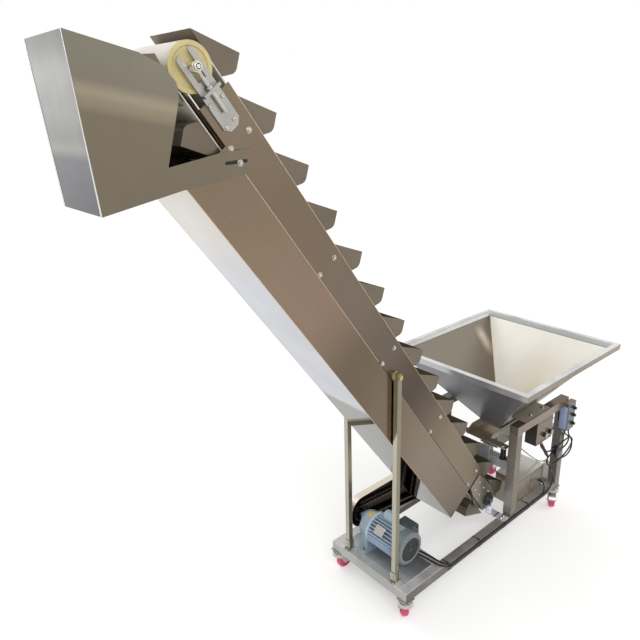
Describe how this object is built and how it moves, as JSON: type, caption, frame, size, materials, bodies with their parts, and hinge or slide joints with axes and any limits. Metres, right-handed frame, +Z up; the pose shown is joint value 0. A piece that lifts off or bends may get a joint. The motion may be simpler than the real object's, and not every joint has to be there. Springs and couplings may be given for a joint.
{
  "type": "bucket elevator",
  "caption": "Mobile inclined bucket elevator: open-top bucket belt between stainless side plates, square feed hopper on a stand, discharge hood, gear motor base on casters.",
  "frame": {"origin": "floor level, midway along the overall length and on the machine's centre plane", "axes": "+X towards the discharge head, +Y the side with the hopper controls, +Z up"},
  "size_m": [2.2048, 0.7, 2.0933],
  "materials": {
    "belt_white": "white food belt",
    "black_metal": "black",
    "brass_bush": "brass",
    "bright_sheet": "mirror-polished stainless sheet",
    "dark_plastic": "dark plastic",
    "motor_paint": "blue-grey paint",
    "roller_yellow": "yellow roller ends",
    "rubber_black": "black rubber",
    "stainless_sheet": "polished stainless sheet",
    "stainless_tube": "brushed stainless tube",
    "wheel_red": "red polyurethane",
    "white_plastic": "white plastic",
    "zinc": "bright zinc"
  },
  "bodies": {
    "frame": {"base_cabinet": "stainless_sheet", "base_rails": "stainless_tube", "belt": "belt_white", "bottom_cover": "bright_sheet", "buckets_carry_lower": "stainless_sheet", "buckets_carry_upper": "stainless_sheet", "buckets_return": "stainless_sheet", "caster_plates": "zinc", "chain_guard": "stainless_sheet", "control_box": "stainless_sheet", "control_knobs": "dark_plastic", "controller_box": "stainless_sheet", "cross_ties": "zinc", "deck_plate": "stainless_tube", "drive_chain": "black_metal", "drive_sprocket": "black_metal", "driven_sprocket": "black_metal", "fan_cover": "motor_paint", "feeder_drive": "motor_paint", "feeder_mounts": "rubber_black", "feeder_tray": "stainless_sheet", "gearbox": "motor_paint", "hood_front": "bright_sheet", "hood_side_far": "stainless_sheet", "hood_side_near": "stainless_sheet", "hopper_rim": "stainless_tube", "hopper_shell": "stainless_sheet", "junction_box": "white_plastic", "motor_body": "motor_paint", "platform_frame": "stainless_tube", "post_feet": "stainless_tube", "post_pivots": "brass_bush", "rail_cables": "rubber_black", "side_cover_far": "stainless_sheet", "side_cover_near": "stainless_sheet", "side_plate_far": "stainless_sheet", "side_plate_near": "stainless_sheet", "stand_beams": "stainless_tube", "stand_cross_members": "stainless_tube", "stand_front_legs": "stainless_tube", "stand_leads": "rubber_black", "stand_rear_legs": "stainless_tube", "support_posts": "stainless_tube", "tail_bearings": "black_metal", "tail_plates": "stainless_sheet", "tail_roller": "zinc", "tail_straps": "stainless_tube", "takeup_blocks": "zinc", "takeup_plates": "zinc", "takeup_screws": "zinc", "terminal_box": "dark_plastic"},
    "head_roller": {"head_roller": "roller_yellow"},
    "fork_near_front": {"caster_fork_near_front": "zinc"},
    "wheel_near_front": {"caster_wheel_near_front": "wheel_red"},
    "fork_far_front": {"caster_fork_far_front": "zinc"},
    "wheel_far_front": {"caster_wheel_far_front": "wheel_red"},
    "fork_near_rear": {"caster_fork_near_rear": "zinc"},
    "wheel_near_rear": {"caster_wheel_near_rear": "wheel_red"},
    "fork_far_rear": {"caster_fork_far_rear": "zinc"},
    "wheel_far_rear": {"caster_wheel_far_rear": "wheel_red"}
  },
  "joints": [
    {"name": "head_roller_spin", "type": "hinge", "parent": "frame", "child": "head_roller", "pos_m": [0.82238, 0, 2.01211], "axis": [0, 1, 0], "continuous": true},
    {"name": "swivel_near_front", "type": "hinge", "parent": "frame", "child": "fork_near_front", "pos_m": [0.14262, 0.19, 0.091], "axis": [0, 0, 1], "continuous": true},
    {"name": "roll_near_front", "type": "hinge", "parent": "fork_near_front", "child": "wheel_near_front", "pos_m": [0.12771, 0.1687, 0.036], "axis": [-0.8192, 0.5736, 0], "continuous": true},
    {"name": "swivel_far_front", "type": "hinge", "parent": "frame", "child": "fork_far_front", "pos_m": [0.14262, -0.19, 0.091], "axis": [0, 0, 1], "continuous": true},
    {"name": "roll_far_front", "type": "hinge", "parent": "fork_far_front", "child": "wheel_far_front", "pos_m": [0.11662, -0.19, 0.036], "axis": [0, 1, 0], "continuous": true},
    {"name": "swivel_near_rear", "type": "hinge", "parent": "frame", "child": "fork_near_rear", "pos_m": [-0.94138, 0.19, 0.091], "axis": [0, 0, 1], "continuous": true},
    {"name": "roll_near_rear", "type": "hinge", "parent": "fork_near_rear", "child": "wheel_near_rear", "pos_m": [-0.91933, 0.20378, 0.036], "axis": [0.5299, -0.848, 0], "continuous": true},
    {"name": "swivel_far_rear", "type": "hinge", "parent": "frame", "child": "fork_far_rear", "pos_m": [-0.94138, -0.19, 0.091], "axis": [0, 0, 1], "continuous": true},
    {"name": "roll_far_rear", "type": "hinge", "parent": "fork_far_rear", "child": "wheel_far_rear", "pos_m": [-0.93642, -0.16448, 0.036], "axis": [0.9816, -0.1908, 0], "continuous": true}
  ]
}
